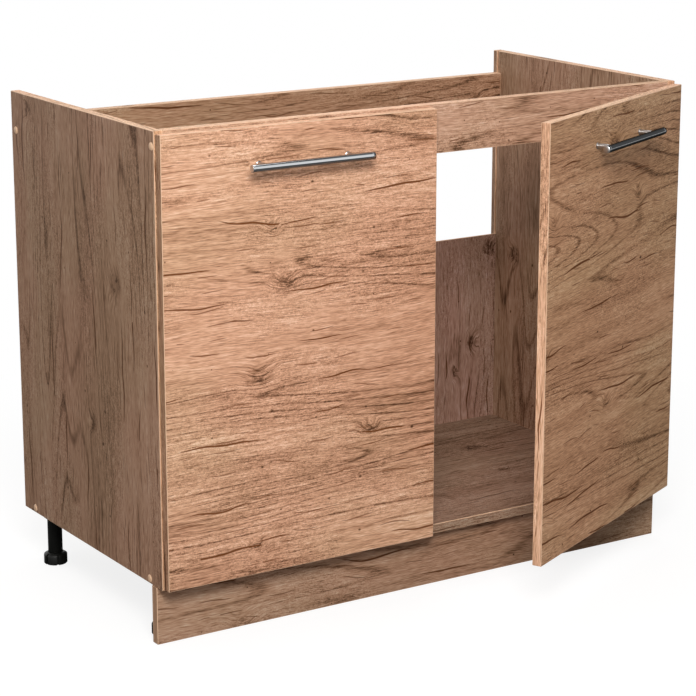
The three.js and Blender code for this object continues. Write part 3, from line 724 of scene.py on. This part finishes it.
def smoothed(node, body, finish, rounding=SHEET_ROUND):
    """A dressed copy of a small CAD part, shaded smooth where it is round."""
    piece = dressed(node, node + "_part", body, rounding, LEAST_PART_EDGE)
    piece.data.shade_smooth()
    piece.data.set_sharp_from_angle(angle=SMOOTH_PART_BELOW)
    piece.data.materials.append(finish)
    return piece


def shorten_pin(link, z):
    """Draws the ends of a link's pin in, so that they stay clear of the door and the cup."""
    for vertex in link.data.vertices:
        height = vertex.co.z / MM - z
        if abs(height) > PIN_HALF - 0.1:
            vertex.co.z -= math.copysign(PIN_TRIM * MM, height)


# Depth and height of the carcass screws.
RAIL_SCREWS = {"front_rail": (-20, 792), "rear_rail": (456, 752),
               "bottom_front": (14, 104), "bottom_rear": (430, 104)}

for index, side in enumerate(("left", "right")):
    leaf = "door_leaf_" + side
    place = door_place(side, index * DOOR_TURN)

    bar = add_piece("bar_" + side, leaf, handle_bar(), CHROME, side, place,
                    ["handle_bar_" + side])
    bar.data.materials.append(BRIGHT_CHROME)
    axis = Matrix.Rotation(index * DOOR_TURN, 3, "Z") @ Vector((1, 0, 0))
    for polygon in bar.data.polygons:
        polygon.material_index = int(abs(polygon.normal.dot(axis)) > 0.8)
    for which, x in POST_XS.items():
        add_piece(f"post_{which}_{side}", leaf, handle_post(x), BRIGHT_CHROME,
                  side, place, [f"handle_post_{which}_{side}"])
        add_piece(f"bar_screw_{which}_{side}", leaf, handle_screw(x), ZINC,
                  side, place, [f"handle_screw_{which}_{side}"])

    for level, z in HINGE_ZS.items():
        here = f"{level}_{side}"
        add_piece("cup_" + here, leaf, hinge_cup(z), STEEL, side, place,
                  ["hinge_cup_" + here])
        for node in ("hinge_arm_", "hinge_plate_"):
            smoothed(node + here, "carcass", STEEL)
        smoothed("inner_link_" + here, "inner_links_" + side, STEEL)
        link = smoothed("outer_link_" + here, "outer_links_" + side, STEEL)
        shorten_pin(link, z)
        heads = [screw_head(4, 1.2, "-x", (INNER_X - 17, FRONT_Y + back, z))
                 for back in ARM_SCREWS]
        plate_y = FRONT_Y + PLATE_SCREW_BACK
        heads += [screw_head(4.5, 1.4, "-x", (INNER_X - 2, plate_y, z + end * PLATE_SCREW_REACH))
                  for end in (-1, 1)]
        add_piece("hinge_screws_" + here, "carcass", merged(*heads), ZINC, side)

    for name, (y, z) in RAIL_SCREWS.items():
        add_piece(f"capped_{name}_{side}", "carcass", confirmat(y, z), CAP, side,
                  nodes=[f"screw_{name}_{side}"])
    for name, y in LEG_YS.items():
        add_piece(f"tube_{name}_{side}", "carcass", leg_tube(y), BLACK, side,
                  nodes=[f"leg_{name}_{side}"])
        add_piece(f"cup_foot_{name}_{side}", f"foot_{name}_{side}", leg_foot(y), BLACK,
                  side, nodes=[f"foot_{name}_{side}"])
    smoothed("plinth_clip_" + side, "carcass", BLACK, CLIP_ROUND)

# ---------------------------------------------------------------- studio

FLOOR_SIZE = 30                 # metres
FLOOR_DROP = 0.0005             # the object's underside stays clear of the floor
FLOOR_GREY = (0.4, 0.4, 0.4, 1)         # as it lights the object
MIRRORED_GREY = (0.1, 0.1, 0.1, 1)      # as metal shows it nearby
SHADOW_SHARE = 0.22             # shading that the camera sees near the object
SHADOW_REACH = (1.6, 0.7)       # metres from the middle, where the shading begins and is full
LIT_FLOOR = 0.76                # brightness of a white floor under the lamps
MIRROR_REACH = (9.0, 4.0)       # metal shows the near floor as it is, and white further off
ROOM_LIGHT = (0.22, 0.6)        # from the front and from the rear
ROOM_REACH = (-0.1, 0.7)        # part to the rear where the one turns into the other
CEILING_RISE = (0.6, 0.85)      # upward part of a direction where the ceiling darkens
WALL_REACH = (0.57, 0.7)        # part to the right where the wall darkens
DIM = (0.12, 0.12, 0.12, 1)
WHITE = (1, 1, 1, 1)
BLACK_PAINT = (0, 0, 0, 1)


def make_floor():
    """White to the camera but for a faint shadow, plain grey as it lights the object."""
    mesh = bpy.data.meshes.new("floor")
    half = FLOOR_SIZE / 2
    corners = [(-half, -half, 0), (half, -half, 0), (half, half, 0), (-half, half, 0)]
    mesh.from_pydata(corners, [], [(0, 1, 2, 3)])
    floor = bpy.data.objects.new("floor", mesh)
    floor.location.z = -FLOOR_DROP
    scene.collection.objects.link(floor)
    material, t = new_material("floor_white")
    path = t.node("LightPath")
    seen = path.outputs["Is Camera Ray"]
    mirrored = t.math("MAXIMUM", path.outputs["Is Glossy Ray"],
                      path.outputs["Is Transmission Ray"])
    far = t.add("VectorMath", 1, {"operation": "LENGTH"}, i0=t.add("TexCoord", 3))
    near = t.math("MULTIPLY", t.smooth(far, *SHADOW_REACH), SHADOW_SHARE)
    shown = t.math("MULTIPLY", seen, t.math("MULTIPLY_ADD", near, -LIT_FLOOR, 1.0))
    reflected = t.math("MULTIPLY", mirrored, t.smooth(far, *reversed(MIRROR_REACH)))
    unseen = t.mix(mirrored, FLOOR_GREY, MIRRORED_GREY)
    colour = t.mix(seen, unseen, t.mix(near, BLACK_PAINT, WHITE))
    matt = t.add("BsdfDiffuse", Color=colour)
    white = t.add("Emission", Color=WHITE, Strength=t.math("ADD", shown, reflected))
    t.finish(t.add("AddShader", i0=matt, i1=white))
    mesh.materials.append(material)


def make_world():
    """White to the camera, a plain light to the object, and a room with a dim ceiling to metal."""
    world = bpy.data.worlds.new("studio")
    scene.world = world
    world.use_nodes = True
    t = Tree(world)
    path = t.node("LightPath")
    mirrored = t.math("MAXIMUM", path.outputs["Is Glossy Ray"],
                      path.outputs["Is Transmission Ray"])
    direction = t.node("SeparateXYZ", i0=t.add("TexCoord", 0))
    dimmed = t.math("MAXIMUM", t.smooth(direction.outputs[2], *CEILING_RISE),
                    t.smooth(direction.outputs[0], *WALL_REACH))
    rear = t.smooth(direction.outputs[1], *ROOM_REACH)
    strength = t.math("MULTIPLY_ADD", rear, ROOM_LIGHT[1] - ROOM_LIGHT[0], ROOM_LIGHT[0])
    room = t.add("Background", Color=(1, 0.98, 0.96, 1), Strength=strength)
    around = t.add("Background", Color=t.mix(dimmed, WHITE, DIM), Strength=1.0)
    white = t.add("Background", Color=WHITE, Strength=1.0)
    shown = t.add("MixShader", i0=mirrored, i1=room, i2=around)
    t.finish(t.add("MixShader", i0=path.outputs["Is Camera Ray"], i1=shown, i2=white), "World")


def make_lamp(name, place, target, size, power, colour=(1, 1, 1)):
    data = bpy.data.lights.new(name, "AREA")
    data.shape = "RECTANGLE"
    data.size, data.size_y = size
    data.energy = power
    data.color = colour
    lamp = bpy.data.objects.new(name, data)
    lamp.location = place
    aim = Vector(target) - Vector(place)
    lamp.rotation_euler = aim.to_track_quat("-Z", "Y").to_euler()
    scene.collection.objects.link(lamp)


make_floor()
make_world()
make_lamp("key", place=(-1.6, -2.5, 2.3), target=(-0.1, 0, 0.45), size=(1.2, 1.0), power=108,
          colour=(1, 0.98, 0.96))
make_lamp("top", place=(0.2, 0.4, 3.6), target=(0, 0, 0.5), size=(2.0, 1.6), power=25)
scene.view_settings.view_transform = "Standard"
